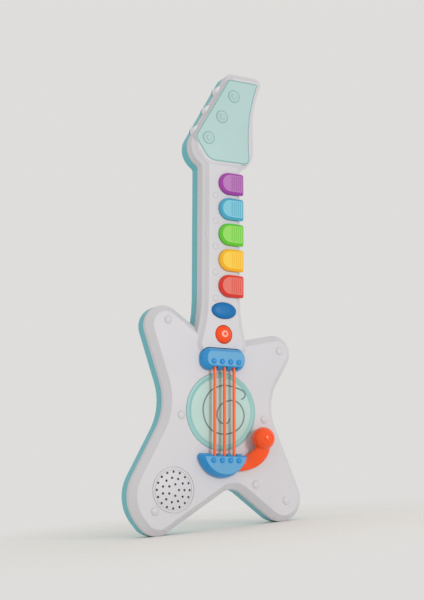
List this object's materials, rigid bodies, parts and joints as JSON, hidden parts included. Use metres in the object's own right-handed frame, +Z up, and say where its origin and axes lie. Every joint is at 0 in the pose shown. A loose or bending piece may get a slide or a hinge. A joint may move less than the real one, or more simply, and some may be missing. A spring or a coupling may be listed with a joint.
{
  "type": "toy electric guitar",
  "caption": "Toy electric guitar with a two-lobed horned body, chord keys on the neck, rocking strum strings, a whammy bar, a speaker grille and a battery bay.",
  "frame": {"origin": "middle of the bounding box's underside: the plane that both body lobes stand on", "axes": "+Z up along the toy's height, with the neck leaning 5.4 degrees towards +X; the front with the strings and keys faces -Y, the battery door faces +Y, +X is to the right seen from the front"},
  "size_m": [0.2026, 0.053, 0.4917],
  "materials": {
    "white_shell": "satin moulded plastic",
    "teal_shell": "satin moulded plastic",
    "mint_disc": "pearly plastic with a printed grey swirl",
    "aqua_panel": "satin moulded plastic",
    "peg_white": "satin moulded plastic",
    "key_purple": "gloss moulded plastic",
    "key_blue": "gloss moulded plastic",
    "key_green": "gloss moulded plastic",
    "key_yellow": "gloss moulded plastic",
    "key_red": "gloss moulded plastic",
    "button_blue": "gloss moulded plastic",
    "button_orange": "gloss translucent plastic",
    "pad_rubber": "matt moulded rubber",
    "board_green": "lacquered circuit board",
    "string_orange": "gloss moulded plastic",
    "pin_steel": "bright drawn wire",
    "switch_black": "black moulded plastic",
    "bridge_blue": "gloss moulded plastic",
    "whammy_red": "gloss moulded plastic",
    "screw_steel": "zinc plated",
    "speaker_steel": "pressed sheet and magnet",
    "cone_paper": "black pulp paper",
    "cell_jacket": "printed metal jacket",
    "contact_steel": "nickel plated spring strip",
    "teal_door": "satin moulded plastic"
  },
  "bodies": {
    "shell": {"front_shell": "white_shell", "back_shell": "teal_shell", "sound_disc": "mint_disc", "head_panel": "aqua_panel", "tuning_peg_1": "peg_white", "tuning_peg_2": "peg_white", "tuning_peg_3": "peg_white", "key_pad_strip": "pad_rubber", "button_pad": "pad_rubber", "neck_board": "board_green", "main_board": "board_green", "rocker_pin_upper": "pin_steel", "rocker_pin_lower": "pin_steel", "strum_switch": "switch_black", "whammy_switch": "switch_black", "sound_chip": "switch_black", "bridge_upper": "bridge_blue", "bridge_lower": "bridge_blue", "whammy_screw": "screw_steel", "shell_screw_1": "screw_steel", "shell_screw_2": "screw_steel", "shell_screw_3": "screw_steel", "shell_screw_4": "screw_steel", "shell_screw_5": "screw_steel", "shell_screw_6": "screw_steel", "shell_screw_7": "screw_steel", "shell_screw_8": "screw_steel", "shell_screw_9": "screw_steel", "shell_screw_10": "screw_steel", "speaker_frame": "speaker_steel", "speaker_magnet": "speaker_steel", "speaker_cone": "cone_paper", "battery_cell_1": "cell_jacket", "battery_cell_2": "cell_jacket", "battery_cell_3": "cell_jacket", "contact_strip_lower": "contact_steel", "contact_strip_upper": "contact_steel"},
    "key_purple": {"key_purple": "key_purple"},
    "key_blue": {"key_blue": "key_blue"},
    "key_green": {"key_green": "key_green"},
    "key_yellow": {"key_yellow": "key_yellow"},
    "key_red": {"key_red": "key_red"},
    "mode_button": {"mode_button": "button_blue"},
    "power_button": {"power_button": "button_orange"},
    "strum": {"string_left": "string_orange", "string_middle": "string_orange", "string_right": "string_orange", "rocker_upper": "string_orange", "rocker_lower": "string_orange"},
    "whammy": {"whammy_bar": "whammy_red"},
    "door": {"battery_door": "teal_door", "battery_door_screw": "screw_steel"}
  },
  "joints": [
    {"name": "key_purple_press", "type": "slide", "parent": "shell", "child": "key_purple", "axis": [0, 1, 0], "range_m": [0, 0.0018], "stiffness_N_per_m": 600},
    {"name": "key_blue_press", "type": "slide", "parent": "shell", "child": "key_blue", "axis": [0, 1, 0], "range_m": [0, 0.0018], "stiffness_N_per_m": 600},
    {"name": "key_green_press", "type": "slide", "parent": "shell", "child": "key_green", "axis": [0, 1, 0], "range_m": [0, 0.0018], "stiffness_N_per_m": 600},
    {"name": "key_yellow_press", "type": "slide", "parent": "shell", "child": "key_yellow", "axis": [0, 1, 0], "range_m": [0, 0.0018], "stiffness_N_per_m": 600},
    {"name": "key_red_press", "type": "slide", "parent": "shell", "child": "key_red", "axis": [0, 1, 0], "range_m": [0, 0.0018], "stiffness_N_per_m": 600},
    {"name": "mode_button_press", "type": "slide", "parent": "shell", "child": "mode_button", "axis": [0, 1, 0], "range_m": [0, 0.0018], "stiffness_N_per_m": 600},
    {"name": "power_button_press", "type": "slide", "parent": "shell", "child": "power_button", "axis": [0, 1, 0], "range_m": [0, 0.0018], "stiffness_N_per_m": 600},
    {"name": "strum_rock", "type": "hinge", "parent": "shell", "child": "strum", "pos_m": [0.00757, 0.00148, 0.12012], "axis": [0.0943, 0, 0.9955], "range_deg": [-4, 4], "stiffness_Nm_per_rad": 0.3},
    {"name": "whammy_swing", "type": "hinge", "parent": "shell", "child": "whammy", "pos_m": [0.01433, -0.00242, 0.06424], "axis": [0, 1, 0], "range_deg": [-10, 10], "stiffness_Nm_per_rad": 0.4},
    {"name": "battery_door_hinge", "type": "hinge", "parent": "shell", "child": "door", "pos_m": [0.00351, 0.02548, 0.07732], "axis": [-0.9955, 0, 0.0943], "range_deg": [0, 60]}
  ]
}
